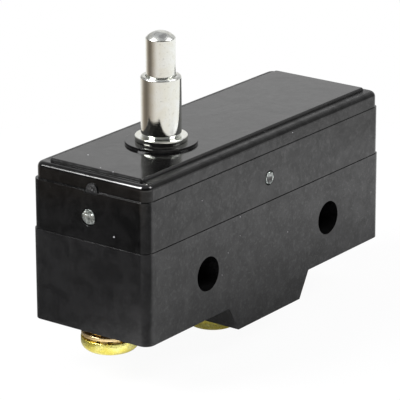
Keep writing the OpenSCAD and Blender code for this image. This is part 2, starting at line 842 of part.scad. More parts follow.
case();
cover();
cover_pins();
plunger_sleeve();
retainer_cup();
plunger_pin();
overtravel_spring();
inner_plunger();
snap_blade();
blade_clamp();
blade_spacer();
moving_contact();
common_bush();
common_bracket();
open_bush();
open_bracket();
open_contact();
closed_bush();
closed_bracket();
closed_contact();
terminal_screws();
plain_washers();
toothed_washers();
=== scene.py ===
"""Looks of a pushbutton micro switch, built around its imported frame.

X runs along the case, away from the plunger. Y runs along the mounting holes. Z points up.
Lengths are in metres, and MM turns millimetres into metres. Places inside materials are in millimetres,
and those of the marks on the cover start at the middle of its plunger end, at the height of its boss.
A pair of places is a range over which something comes in or fades out.
"""

import json
import math

import bmesh
import bpy
from mathutils import Matrix, Vector

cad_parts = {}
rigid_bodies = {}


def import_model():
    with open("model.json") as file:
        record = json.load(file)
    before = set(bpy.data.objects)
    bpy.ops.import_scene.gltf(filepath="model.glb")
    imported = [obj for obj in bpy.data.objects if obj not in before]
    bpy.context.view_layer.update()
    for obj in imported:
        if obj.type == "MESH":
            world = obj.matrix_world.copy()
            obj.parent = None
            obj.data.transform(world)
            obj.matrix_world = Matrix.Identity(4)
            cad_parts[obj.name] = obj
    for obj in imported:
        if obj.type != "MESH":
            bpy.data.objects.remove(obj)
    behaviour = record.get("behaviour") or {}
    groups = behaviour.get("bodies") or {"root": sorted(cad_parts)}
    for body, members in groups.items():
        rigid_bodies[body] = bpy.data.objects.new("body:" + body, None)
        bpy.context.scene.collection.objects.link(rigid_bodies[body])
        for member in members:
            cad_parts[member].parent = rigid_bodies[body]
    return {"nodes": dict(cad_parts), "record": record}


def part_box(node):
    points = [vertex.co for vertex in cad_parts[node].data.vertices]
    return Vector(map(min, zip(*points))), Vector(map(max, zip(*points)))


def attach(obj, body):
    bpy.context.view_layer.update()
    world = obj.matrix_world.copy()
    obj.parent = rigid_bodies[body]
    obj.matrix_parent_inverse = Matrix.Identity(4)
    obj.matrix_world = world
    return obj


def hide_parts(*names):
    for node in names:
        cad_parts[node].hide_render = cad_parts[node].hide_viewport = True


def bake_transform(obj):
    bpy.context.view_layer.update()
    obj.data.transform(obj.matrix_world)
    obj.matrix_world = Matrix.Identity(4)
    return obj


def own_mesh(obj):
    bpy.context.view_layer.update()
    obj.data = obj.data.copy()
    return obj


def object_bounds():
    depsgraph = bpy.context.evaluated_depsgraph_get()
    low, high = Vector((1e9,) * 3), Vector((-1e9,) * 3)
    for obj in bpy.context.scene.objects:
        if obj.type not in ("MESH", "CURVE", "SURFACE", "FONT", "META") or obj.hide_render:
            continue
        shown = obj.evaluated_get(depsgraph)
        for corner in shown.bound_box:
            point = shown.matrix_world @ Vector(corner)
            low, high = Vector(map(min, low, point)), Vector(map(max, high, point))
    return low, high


MM = 0.001
WHITE = (1.0, 1.0, 1.0, 1.0)
COOL_TINT = 1.03

# Camera, fitted to the photograph
CAMERA_AZIMUTH = math.radians(-53.2388)
CAMERA_ELEVATION = math.radians(18.7778)
CAMERA_ROLL = math.radians(-0.2159)
CAMERA_AIM = Vector((0.0591, 2.0077, 3.6733)) * MM
CAMERA_DISTANCE = 348.331 * MM
CAMERA_LENS = 251.457
SENSOR_WIDTH = 36.0

# Studio floor, white to the camera
FLOOR_RADIUS = 88 * MM
FLOOR_GAP = 0.02 * MM
FLOOR_SEGMENTS = 96
FLOOR_TONE = 0.92
FLOOR_GLOW = 0.95

# Shades of the floor, seen only in reflections: heading in degrees, start and end along it, and end light
FLOOR_SHADES = (
    (95, -3 * MM, 23 * MM, 0.12),
    (217, 26 * MM, 45 * MM, 0.35),
    (325, 0 * MM, 12 * MM, 0.87),
    (0, 10 * MM, 60 * MM, 1.3),
)

# Glow of the floor under the case, seen only in reflections: in the middle and at the plunger's end
MIDDLE_GLOW = 0.11
END_GLOW = 0.4
GLOW_CHANGE = (-18 * MM, -10 * MM)
GLOW_END = (22 * MM, 26 * MM)
GLOW_SIDE = (6.5 * MM, 8.7 * MM)

# Softboxes: name, heading and height in degrees, distance, width, length and radiance
SOFTBOXES = (
    ("key_softbox", 149, 42, 320 * MM, 130 * MM, 160 * MM, 20.0),
    ("fill_softbox", 300, 45, 320 * MM, 130 * MM, 130 * MM, 8.0),
)

# Light of the surroundings, at angles round to the left from the backdrop behind the case
BACKDROP_HEADING = math.radians(37)
SKY_LIGHT = (
    (0, 0.9), (36, 0.38), (90, 0.15), (118, 0.02), (223, 0.02), (258, 0.25), (292, 0.37), (325, 0.62),
    (360, 0.9),
)
GROUND_LIGHT = (
    (0, 1.0), (30, 0.97), (46, 0.7), (60, 0.38), (73, 0.2), (90, 0.13), (104, 0.18), (118, 0.33),
    (130, 0.48), (143, 0.66), (157, 0.78), (180, 0.8), (205, 0.86), (260, 0.95), (300, 1.0), (360, 1.0),
)
GROUND_WARMTH = 0.2

# Heights, from 0 level to 1 overhead, between which the ground becomes the sky and the sky the zenith
HORIZON = (-0.05, 0.12)
ZENITH = (0.55, 0.9)
ZENITH_LIGHT = 0.35

# Edge breaks on the solids
METAL_EDGE = 0.08 * MM
PLASTIC_EDGE = 0.02 * MM
THIN_EDGE = 0.03 * MM
EDGE_WIDTHS = {
    "case": PLASTIC_EDGE,
    "cover": PLASTIC_EDGE,
    "toothed_washers": THIN_EDGE,
    "blade_clamp": THIN_EDGE,
    "retainer_cup": THIN_EDGE,
}
EDGE_SEGMENTS = 3
SHARP_ANGLE = math.radians(28)
FLAT_ANGLE = math.radians(0.4)
WELD_DISTANCE = 0.0005 * MM

# Worn edges: samples of the rounded normal, and the cosines of its turn at which wear is full and gone
WEAR_SAMPLES = 6
WEAR_TURN = (0.75, 0.98)
MOULDING_WEAR = 0.2 * MM
METAL_WEAR = 0.12 * MM

# Values of a cloudy texture that take in most of it
CLOUD_RANGE = (0.35, 0.65)

# Black moulding: its gloss, dust and rubbed edges, and the bright resin skin in patches on it
MOULDING_SPECULAR = 0.36
DUST_TONE = 0.45
DUST_DULLNESS = 0.6
RUBBED_TONE = 0.03
SKIN_ROUGHNESS = 0.1
FLECK_SKIN = 0.25
MOTTLING_SKIN = 0.2

# Marks on the cover's raised top face: an even skin, a matt end and dull sides
TOP_Z = (-0.72, -0.67)
TOP_END_X = (1.54, 1.74)
TOP_SIDE_X = (1.54, 2.14)
TOP_SIDE_Y = (6.55, 6.75)
TOP_SIDE_Z = (-1.05, -0.75)
TOP_SKIN = 0.15
TOP_EVENNESS = 0.8
END_DULLNESS = 0.9
SIDE_DULLNESS = 0.42

# Bright skin on the cover's rim, near one corner
RIM_END_X = (1.19, 1.39)
RIM_CORNER_Y = (-6.5, -1.0)
RIM_ROUND_Z = (-1.55, -1.35)
RIM_SKIN = 0.9

# Stub of the cover's moulding gate, broken off above its ledge
LEDGE_Z = (-3.05, -2.75)
GATE_PLACE = (0.0, -0.4, -2.65)
GATE_RADIUS = (0.85, 1.0)
GATE_TONES = (0.008, 0.03)
GATE_DULLNESS = 0.32
GATE_LUMPS = 0.4 * MM

# Larger specks of dust on the cover
DUST_PLACES = ((0.0, -3.81, -7.62), (4.99, 3.93, -0.35), (1.69, -2.47, -0.35))
DUST_RADIUS = (0.065, 0.13)

# Dish in the side pins, from their axis: where it ends, and the heights over which its painted highlight
# above gives way to painted shade below
DISH_RADIUS = (0.55, 0.65)
DISH_HIGHLIGHT_Z = (-0.05, 0.2)

# Colours in pairs, pale and deep
NICKEL = ((0.862, 0.88, 0.845, 1), (0.83, 0.832, 0.758, 1))
STEEL = ((0.62, 0.61, 0.6, 1), (0.5, 0.49, 0.47, 1))
BRONZE = ((0.72, 0.46, 0.24, 1), (0.6, 0.34, 0.16, 1))
SILVER = ((0.86, 0.85, 0.82, 1), (0.74, 0.72, 0.68, 1))
SCREW_BRASS = ((1.0, 0.93, 0.33, 1), (0.88, 0.76, 0.14, 1))
WASHER_BRASS = ((0.97, 0.76, 0.42, 1), (0.86, 0.62, 0.3, 1))
# Toothed washers, darkened as painted shade for the dark line between washer and head
SHADED_TOOTH_BRASS = ((0.5, 0.36, 0.14, 1), (0.3, 0.2, 0.07, 1))
# Terminal brass, darkened as painted shade for the bushes in the case's shadow
SHADE_DARKENED_BRASS = ((0.34, 0.24, 0.09, 1), (0.18, 0.12, 0.04, 1))
TORN_METAL = ((0.9, 0.96, 0.93, 1), (0.18, 0.2, 0.19, 1))
# Dish of the side pins: pale as a painted highlight above, deep as painted shade in the recess below
DISH_HIGHLIGHT_AND_SHADE = ((0.45, 0.47, 0.46, 1), (0.14, 0.14, 0.14, 1))
BROWN_RESIN = ((0.22, 0.085, 0.04, 1), (0.11, 0.035, 0.018, 1))

# Nickel: colour of its freckles and of its worn crowns, and the millimetres over which a crown begins
FRECKLE_COLOUR = (0.45, 0.44, 0.42, 1)
CROWN_COLOUR = (0.4, 0.4, 0.39, 1)
CROWN_START = 0.15

# Snap blade
MIDDLE_LEG_WIDTH = 2.6 * MM
LEG_SLOT = 0.5 * MM
LEG_BOW = 1.0 * MM
NOTCH_OFFSET = 3.55 * MM
NOTCH_DROP = 0.6 * MM
FORK_OFFSET = 5.5 * MM
FORK_FILLET = LEG_SLOT / 2
BLADE_TIP_WIDTH = 4.0 * MM
BLADE_STATION = 0.5 * MM
BLADE_LEAST_STEPS = 3
SEAT_DEPTH = 0.06 * MM
SEAT_REACH = 1.5 * MM

# Overtravel spring
WIRE_DIAMETER = 0.3 * MM
COIL_TURNS = 9
COIL_RINGS_PER_TURN = 36
COIL_SIDES = 12


class Graph:
    """A node tree, with short ways to add nodes and join them."""

    def __init__(self, tree):
        self.tree = tree

    def feed(self, socket, value):
        """Sets a socket to a value, or joins it to another node's output."""
        if isinstance(value, bpy.types.NodeSocket):
            self.tree.links.new(value, socket)
        else:
            socket.default_value = value

    def add(self, kind, inputs=None, **settings):
        """Adds a node, sets it up and feeds its inputs by name or number."""
        node = self.tree.nodes.new(kind)
        for name, value in settings.items():
            setattr(node, name, value)
        for key, value in (inputs or {}).items():
            self.feed(node.inputs[key], value)
        return node

    def arithmetic(self, operation, first, second=0.0):
        """Result of one step of arithmetic."""
        node = self.add("ShaderNodeMath", {0: first, 1: second}, operation=operation)
        return node.outputs[0]

    def times(self, first, second):
        """Product of two numbers."""
        return self.arithmetic("MULTIPLY", first, second)

    def larger(self, first, second):
        """Larger of two numbers."""
        return self.arithmetic("MAXIMUM", first, second)

    def between(self, share, first, second):
        """Number a share of the way from one to another, by the inputs that a Mix node keeps for numbers."""
        node = self.add("ShaderNodeMix", {0: share, 2: first, 3: second})
        return node.outputs[0]

    def blend(self, share, first, second):
        """Colour a share of the way from one to another, by the inputs that a Mix node keeps for colours."""
        node = self.add("ShaderNodeMix", {0: share, 6: first, 7: second}, data_type="RGBA")
        return node.outputs[2]

    def remap(self, value, source, target=(0.0, 1.0)):
        """Value taken smoothly from a source range to a target range, and held at its ends."""
        inputs = {
            "Value": value,
            "From Min": source[0],
            "From Max": source[1],
            "To Min": target[0],
            "To Max": target[1],
        }
        node = self.add("ShaderNodeMapRange", inputs, interpolation_type="SMOOTHSTEP")
        return node.outputs["Result"]

    def vector(self, operation, first, second):
        """Outputs of one step of vector arithmetic: Vector and Value."""
        return self.add("ShaderNodeVectorMath", {0: first, 1: second}, operation=operation).outputs

    def axes(self, place):
        """Outputs X, Y and Z of a place."""
        return self.add("ShaderNodeSeparateXYZ", {0: place}).outputs

    def distance(self, place, point):
        """Distance of a place from a point."""
        return self.vector("DISTANCE", place, point)["Value"]

    def stretched(self, place, factors):
        """Place with each axis scaled, which draws a texture out along the small factors."""
        return self.vector("MULTIPLY", place, factors)["Vector"]

    def millimetres(self):
        """Place on the piece in its own frame, in millimetres."""
        place = self.add("ShaderNodeTexCoord").outputs["Object"]
        return self.stretched(place, (1 / MM, 1 / MM, 1 / MM))

    def noise(self, place, scale, detail=3.0, distortion=0.0):
        """Cloudy texture from 0 to 1, with a number of cells for each millimetre."""
        inputs = {"Vector": place, "Scale": scale, "Detail": detail, "Distortion": distortion}
        return self.add("ShaderNodeTexNoise", inputs).outputs["Fac"]

    def specks(self, place, scale, size, share):
        """Small dots: 1 at the centres of a share of the cells, and 0 elsewhere."""
        cells = self.add("ShaderNodeTexVoronoi", {"Vector": place, "Scale": scale}).outputs
        core = 0.6 * size
        dot = self.remap(cells["Distance"], (core, size), (1.0, 0.0))
        tone = self.add("ShaderNodeSeparateColor", {"Color": cells["Color"]})
        chosen = self.arithmetic("LESS_THAN", tone.outputs["Red"], share)
        return self.times(dot, chosen)

    def edges(self, radius):
        """1 along the sharp edges of a piece, and 0 on its faces."""
        soft = self.add("ShaderNodeBevel", {"Radius": radius}, samples=WEAR_SAMPLES).outputs["Normal"]
        true = self.add("ShaderNodeNewGeometry").outputs["Normal"]
        turn = self.vector("DOT_PRODUCT", soft, true)["Value"]
        return self.remap(turn, WEAR_TURN, (1.0, 0.0))

    def bump(self, height, distance, normal=None):
        """Normal that follows a height, on top of another normal if one is given."""
        inputs = {"Height": height, "Distance": distance}
        if normal is not None:
            inputs["Normal"] = normal
        return self.add("ShaderNodeBump", inputs).outputs["Normal"]


def new_material(name):
    """A material with its graph and its Principled shader."""
    material = bpy.data.materials.new(name)
    material.use_nodes = True
    return material, Graph(material.node_tree), material.node_tree.nodes["Principled BSDF"]


def grey(tone):
    """Grey of a tone, a little cool."""
    return (tone, tone, tone * COOL_TINT, 1.0)


def box_in_millimetres(node):
    """Lowest and highest corners of a node at rest, in millimetres."""
    return [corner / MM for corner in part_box(node)]


def matt_end(graph, parts, top, lumps):
    """1 on the worn end of the cover's raised top face, by the plunger, and 0 elsewhere."""
    end = graph.times(graph.remap(parts["X"], TOP_END_X, (1.0, 0.0)), top)
    return graph.times(end, graph.remap(lumps, (0.4, 0.65), (0.8, 1.0)))


def dull_sides(graph, parts):
    """Roughness along the sides of the cover's raised top face."""
    side = graph.remap(graph.arithmetic("ABSOLUTE", parts["Y"]), TOP_SIDE_Y, (0.0, SIDE_DULLNESS))
    along = graph.remap(parts["X"], TOP_SIDE_X, (0.0, side))
    return graph.times(along, graph.remap(parts["Z"], TOP_SIDE_Z))


def bright_rim(graph, parts):
    """Bright skin on the cover's rim at the plunger's end, towards its near corner."""
    corner = graph.remap(parts["Y"], RIM_CORNER_Y, (RIM_SKIN, 0.0))
    end = graph.remap(parts["X"], RIM_END_X, (corner, 0.0))
    return graph.remap(parts["Z"], RIM_ROUND_Z, (0.0, end))


def gate_patch(graph, spot, parts):
    """1 on the stub of the cover's moulding gate, and 0 elsewhere."""
    disc = graph.remap(graph.distance(spot, GATE_PLACE), GATE_RADIUS, (1.0, 0.0))
    return graph.times(disc, graph.remap(parts["Z"], LEDGE_Z))


def dust_spots(graph, spot):
    """1 on the cover's larger specks of dust, and 0 elsewhere."""
    dust = 0.0
    for place in DUST_PLACES:
        dust = graph.larger(dust, graph.remap(graph.distance(spot, place), DUST_RADIUS, (1.0, 0.0)))
    return dust


def cover_marks(graph, place, look):
    """Marks on the cover: its even top, matt end, dull sides, bright rim, broken moulding gate and dust."""
    low, high = box_in_millimetres("cover")
    spot = graph.vector("SUBTRACT", place, (low.x, 0.0, high.z))["Vector"]
    parts = graph.axes(spot)
    lumps = graph.noise(place, scale=2.5, detail=4.0, distortion=0.5)
    top = graph.remap(parts["Z"], TOP_Z)
    matt = matt_end(graph, parts, top, lumps)
    patch = gate_patch(graph, spot, parts)
    dust = dust_spots(graph, spot)
    broken = graph.blend(lumps, *map(grey, GATE_TONES))
    moulded = graph.blend(patch, look["Base Color"], broken)
    steps = graph.larger(graph.times(matt, END_DULLNESS), dull_sides(graph, parts))
    rough = graph.larger(steps, graph.times(patch, GATE_DULLNESS))
    evened = graph.between(graph.times(top, TOP_EVENNESS), look["Coat Weight"], TOP_SKIN)
    skin = graph.larger(evened, bright_rim(graph, parts))
    skinned = graph.arithmetic("SUBTRACT", 1.0, graph.larger(matt, patch))
    return {
        "Base Color": graph.blend(dust, moulded, grey(DUST_TONE)),
        "Roughness": graph.larger(look["Roughness"], graph.larger(rough, dust)),
        "Coat Weight": graph.times(skin, skinned),
        "Normal": graph.bump(graph.times(patch, lumps), distance=GATE_LUMPS, normal=look["Normal"]),
    }


def black_moulding(name, dark, light, gloss, dull, marks=None):
    """Glossy black phenolic with flow marks, grain, dust, worn edges and patches of bright resin skin.

    A function for marks changes the look at the end.
    """
    material, graph, shader = new_material(name)
    place = graph.millimetres()
    mottling = graph.noise(place, scale=0.5, detail=6.0, distortion=0.9)
    drag = graph.noise(graph.stretched(place, (1.6, 1.6, 0.35)), scale=0.9, detail=4.0, distortion=0.3)
    spots = graph.noise(place, scale=2.4, detail=6.0, distortion=0.6)
    grain = graph.noise(place, scale=5.0, detail=2.0)
    patches = graph.noise(place, scale=0.17, distortion=0.4)
    dust = graph.specks(place, scale=0.8, size=0.07, share=0.07)
    worn = graph.remap(graph.noise(place, scale=1.3, detail=4.0), (0.4, 0.65), (0.3, 1.0))
    wear = graph.times(graph.edges(MOULDING_WEAR), worn)
    half_wear = graph.times(wear, 0.5)
    uneven = graph.bump(patches, distance=0.05 * MM)
    tone = graph.blend(graph.remap(mottling, CLOUD_RANGE), grey(dark), grey(light))
    rubbed = graph.blend(half_wear, tone, grey(RUBBED_TONE))
    polish = graph.remap(graph.between(0.4, drag, patches), (0.32, 0.68), (gloss, dull))
    dulled = graph.larger(graph.times(dust, DUST_DULLNESS), half_wear)
    flecks = graph.remap(spots, (0.5, 0.68), (0.0, FLECK_SKIN))
    mottled = graph.remap(mottling, (0.3, 0.7), (0.0, MOTTLING_SKIN))
    look = {
        "Base Color": graph.blend(dust, rubbed, grey(DUST_TONE)),
        "Roughness": graph.larger(polish, dulled),
        "Coat Weight": graph.arithmetic("ADD", mottled, flecks),
        "Normal": graph.bump(grain, distance=0.0012 * MM, normal=uneven),
    }
    if marks:
        look = marks(graph, place, look)
    for socket, value in look.items():
        graph.feed(shader.inputs[socket], value)
    shader.inputs["Specular IOR Level"].default_value = MOULDING_SPECULAR
    shader.inputs["Coat Roughness"].default_value = SKIN_ROUGHNESS
    return material


def polished_nickel(name, node, gloss, dull, crown_height, crown_dull):
    """Turned and polished nickel: rings, tarnish, freckles, scratches and a worn, duller crown.

    The crown's height is in millimetres, down from the top of a node.
    """
    material, graph, shader = new_material(name)
    place = graph.millimetres()
    tarnish = graph.noise(place, scale=0.6, detail=4.0, distortion=0.5)
    freckles = graph.remap(graph.noise(place, scale=4.0, distortion=0.3), (0.6, 0.72), (0.0, 0.35))
    rings = graph.noise(graph.stretched(place, (0.05, 0.05, 9.0)), scale=1.0)
    scratches = graph.noise(graph.stretched(place, (6.0, 6.0, 0.25)), scale=1.0)
    scuffs = graph.remap(graph.noise(place, scale=1.7, detail=5.0, distortion=0.8), (0.42, 0.6), (0.0, 2.0))
    clean = graph.blend(graph.remap(tarnish, CLOUD_RANGE), *NICKEL)
    spotted = graph.blend(freckles, clean, FRECKLE_COLOUR)
    crown_z = box_in_millimetres(node)[1].z - crown_height
    crown = graph.remap(graph.axes(place)["Z"], (crown_z, crown_z + CROWN_START), (0.0, crown_dull))
    polish = graph.remap(graph.between(0.5, rings, scratches), CLOUD_RANGE, (gloss, dull))
    graph.feed(shader.inputs["Base Color"], graph.blend(graph.times(crown, scuffs), spotted, CROWN_COLOUR))
    graph.feed(shader.inputs["Roughness"], graph.larger(polish, crown))
    graph.feed(shader.inputs["Normal"], graph.bump(rings, distance=0.002 * MM))
    shader.inputs["Metallic"].default_value = 1.0
    return material


def stamped_metal(name, colours, gloss, dull, dents):
    """Stamped or drawn metal: patchy colour, small dents and rubbed edges."""
    material, graph, shader = new_material(name)
    place = graph.millimetres()
    patches = graph.noise(place, scale=0.9, detail=5.0, distortion=0.6)
    rolled = graph.noise(graph.stretched(place, (0.6, 5.0, 5.0)), scale=1.0)
    pits = graph.noise(place, scale=2.2, detail=4.0, distortion=0.4)
    colour = graph.blend(graph.remap(patches, CLOUD_RANGE), *colours)
    pale = colours[0]
    rubbed = graph.blend(graph.times(graph.edges(METAL_WEAR), 0.5), colour, pale)
    polish = graph.remap(graph.between(0.5, rolled, patches), CLOUD_RANGE, (gloss, dull))
    graph.feed(shader.inputs["Base Color"], rubbed)
    graph.feed(shader.inputs["Roughness"], polish)
    graph.feed(shader.inputs["Normal"], graph.bump(pits, distance=dents))
    shader.inputs["Metallic"].default_value = 1.0
    return material


def cut_pins(name):
    """Cut ends of soft pins: torn patches on the end pins, and a dish in the side pins, painted dark as
    shade in the recess with a painted highlight above.
    """
    material, graph, shader = new_material(name)
    place = graph.millimetres()
    low, high = box_in_millimetres("cover_pins")
    axis = (0.0, 0.0, (low.z + high.z) / 2)
    spot = graph.vector("SUBTRACT", place, axis)["Vector"]
    radius = graph.distance(graph.stretched(spot, (1.0, 0.0, 1.0)), (0.0, 0.0, 0.0))
    dish = graph.remap(radius, DISH_RADIUS, (1.0, 0.0))
    # The side pins' dish is painted dark as shade in its recess, and lighter above as a painted highlight
    dish_highlight_and_shade = graph.blend(graph.remap(graph.axes(spot)["Z"], DISH_HIGHLIGHT_Z, (1.0, 0.0)), *DISH_HIGHLIGHT_AND_SHADE)
    tears = graph.noise(place, scale=1.5, detail=4.0, distortion=0.8)
    torn = graph.blend(graph.remap(tears, (0.4, 0.56)), *TORN_METAL)
    pits = graph.noise(place, scale=2.2, detail=4.0, distortion=0.4)
    graph.feed(shader.inputs["Base Color"], graph.blend(dish, torn, dish_highlight_and_shade))
    graph.feed(shader.inputs["Roughness"], graph.remap(tears, CLOUD_RANGE, (0.25, 0.45)))
    graph.feed(shader.inputs["Normal"], graph.bump(pits, distance=0.15 * MM))
    shader.inputs["Metallic"].default_value = 1.0
    return material


def brown_moulding(name):
    """Brown phenolic with a marbled filler and a soft polish."""
    material, graph, shader = new_material(name)
    place = graph.millimetres()
    marble = graph.noise(place, scale=1.4, detail=6.0, distortion=1.5)
    grain = graph.noise(place, scale=9.0, detail=2.0)
    colour = graph.blend(graph.remap(marble, (0.3, 0.7), (1.0, 0.0)), *BROWN_RESIN)
    graph.feed(shader.inputs["Base Color"], colour)
    graph.feed(shader.inputs["Roughness"], graph.remap(grain, (0.3, 0.7), (0.22, 0.38)))
    graph.feed(shader.inputs["Normal"], graph.bump(grain, distance=0.004 * MM))
    return material


def make_materials():
    """Every material by the record's slot name, and one for the washers' teeth, darkened as painted shade.

    The least and the greatest roughness of a material are its gloss and dull.
    """
    looks = {
        "base_plastic": (black_moulding, dict(dark=0.007, light=0.011, gloss=0.1, dull=0.18)),
        "cover_plastic": (
            black_moulding,
            dict(dark=0.002, light=0.005, gloss=0.08, dull=0.15, marks=cover_marks),
        ),
        "inner_plastic": (brown_moulding, {}),
        "sleeve_metal": (
            polished_nickel,
            dict(node="plunger_sleeve", gloss=0.05, dull=0.1, crown_height=0.32, crown_dull=0.28),
        ),
        "plunger_metal": (
            polished_nickel,
            dict(node="plunger_pin", gloss=0.1, dull=0.18, crown_height=0.98, crown_dull=0.3),
        ),
        "pin_metal": (cut_pins, {}),
        "spring_steel": (stamped_metal, dict(colours=STEEL, gloss=0.2, dull=0.35, dents=0.01 * MM)),
        "blade_bronze": (stamped_metal, dict(colours=BRONZE, gloss=0.2, dull=0.34, dents=0.006 * MM)),
        # Terminal brass darkened as painted shade, for the bushes under the case
        "terminal_brass": (stamped_metal, dict(colours=SHADE_DARKENED_BRASS, gloss=0.26, dull=0.42, dents=0.02 * MM)),
        "screw_brass": (stamped_metal, dict(colours=SCREW_BRASS, gloss=0.2, dull=0.34, dents=0.1 * MM)),
        "shaded_tooth_brass": (stamped_metal, dict(colours=SHADED_TOOTH_BRASS, gloss=0.24, dull=0.4, dents=0.03 * MM)),
        "washer_brass": (stamped_metal, dict(colours=WASHER_BRASS, gloss=0.2, dull=0.34, dents=0.03 * MM)),
        "contact_silver": (stamped_metal, dict(colours=SILVER, gloss=0.2, dull=0.34, dents=0.01 * MM)),
    }
    return {slot: make(slot, **values) for slot, (make, values) in looks.items()}


def clear_scene():
    """Removes what Blender starts with."""
    for leftover in list(bpy.data.objects):
        bpy.data.objects.remove(leftover)


def smooth_shading():
    """Node group of a modifier that shades a piece smooth."""
    group = bpy.data.node_groups.new("smooth_shading", "GeometryNodeTree")
    for side in ("INPUT", "OUTPUT"):
        group.interface.new_socket("Geometry", in_out=side, socket_type="NodeSocketGeometry")
    source = group.nodes.new("NodeGroupInput")
    smooth = group.nodes.new("GeometryNodeSetShadeSmooth")
    result = group.nodes.new("NodeGroupOutput")
    group.links.new(source.outputs[0], smooth.inputs["Geometry"])
    group.links.new(smooth.outputs["Geometry"], result.inputs[0])
    return group


def soften(node, shading, width):
    """Breaks a solid's sharp edges with small round bevels."""
    weld = node.modifiers.new("weld", "WELD")
    weld.merge_threshold = WELD_DISTANCE
    flat = node.modifiers.new("flat_faces", "DECIMATE")
    flat.decimate_type = "DISSOLVE"
    flat.angle_limit = FLAT_ANGLE
    node.modifiers.new("smooth", "NODES").node_group = shading
    edge = node.modifiers.new("edge", "BEVEL")
    edge.width = width
    edge.segments = EDGE_SEGMENTS
    edge.limit_method = "ANGLE"
    edge.angle_limit = SHARP_ANGLE
    edge.use_clamp_overlap = False
    edge.miter_outer = "MITER_ARC"
    normals = node.modifiers.new("normals", "WEIGHTED_NORMAL")
    normals.keep_sharp = True


def dress_solids(frame, materials):
    """Gives every solid its material and its edge breaks."""
    shading = smooth_shading()
    for part in frame["record"]["subparts"]:
        name = part["node"]
        node = frame["nodes"][name]
        # The toothed washers get brass darkened as painted shade
        look = "shaded_tooth_brass" if name == "toothed_washers" else part["material_slot"]
        node.data.materials.clear()
        node.data.materials.append(materials[look])
        soften(node, shading, EDGE_WIDTHS.get(name, METAL_EDGE))


def sweep(shape, rings):
    """Skin over a row of closed rings of points, with both ends capped."""
    rows = [[shape.verts.new(point) for point in ring] for ring in rings]
    for near, far in zip(rows, rows[1:]):
        for i in range(len(near)):
            j = (i + 1) % len(near)
            shape.faces.new((near[i], near[j], far[j], far[i]))
    shape.faces.new(rows[0])
    shape.faces.new(list(reversed(rows[-1])))


def new_piece(name, rows, material):
    """A mesh piece from rows of closed rings of points, with a skin over each row."""
    shape = bmesh.new()
    for rings in rows:
        sweep(shape, rings)
    bmesh.ops.recalc_face_normals(shape, faces=shape.faces)
    mesh = bpy.data.meshes.new(name)
    shape.to_mesh(mesh)
    shape.free()
    mesh.materials.append(material)
    piece = bpy.data.objects.new(name, mesh)
    bpy.context.scene.collection.objects.link(piece)
    return piece


def smooth_faces(piece):
    """Shades a piece's own mesh smooth."""
    for face in piece.data.polygons:
        face.use_smooth = True


def add_spring(materials):
    """Coil spring in the overtravel spring's place, carried by the plunger's body."""
    low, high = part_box("overtravel_spring")
    centre = (low + high) / 2
    wire = WIRE_DIAMETER / 2
    mean = (high.y - low.y) / 2 - wire
    rings_total = COIL_TURNS * COIL_RINGS_PER_TURN
    rise = high.z - low.z - 2 * wire

    def ring(i):
        angle = math.tau * i / COIL_RINGS_PER_TURN
        points = []
        for s in range(COIL_SIDES):
            side = math.tau * s / COIL_SIDES
            reach = mean + wire * math.cos(side)
            height = low.z + wire + rise * i / rings_total + wire * math.sin(side)
            points.append((centre.x + reach * math.cos(angle), centre.y + reach * math.sin(angle), height))
        return points

    coil = [ring(i) for i in range(rings_total + 1)]
    spring = new_piece("overtravel_spring_coil", [coil], materials["spring_steel"])
    smooth_faces(spring)
    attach(spring, "plunger")
    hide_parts("overtravel_spring")
    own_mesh(spring)


def strip_ring(x, inner, outer, low, high):
    """Oblong section of a strip of metal that runs along X."""
    return [(x, inner, low), (x, outer, low), (x, outer, high), (x, inner, high)]


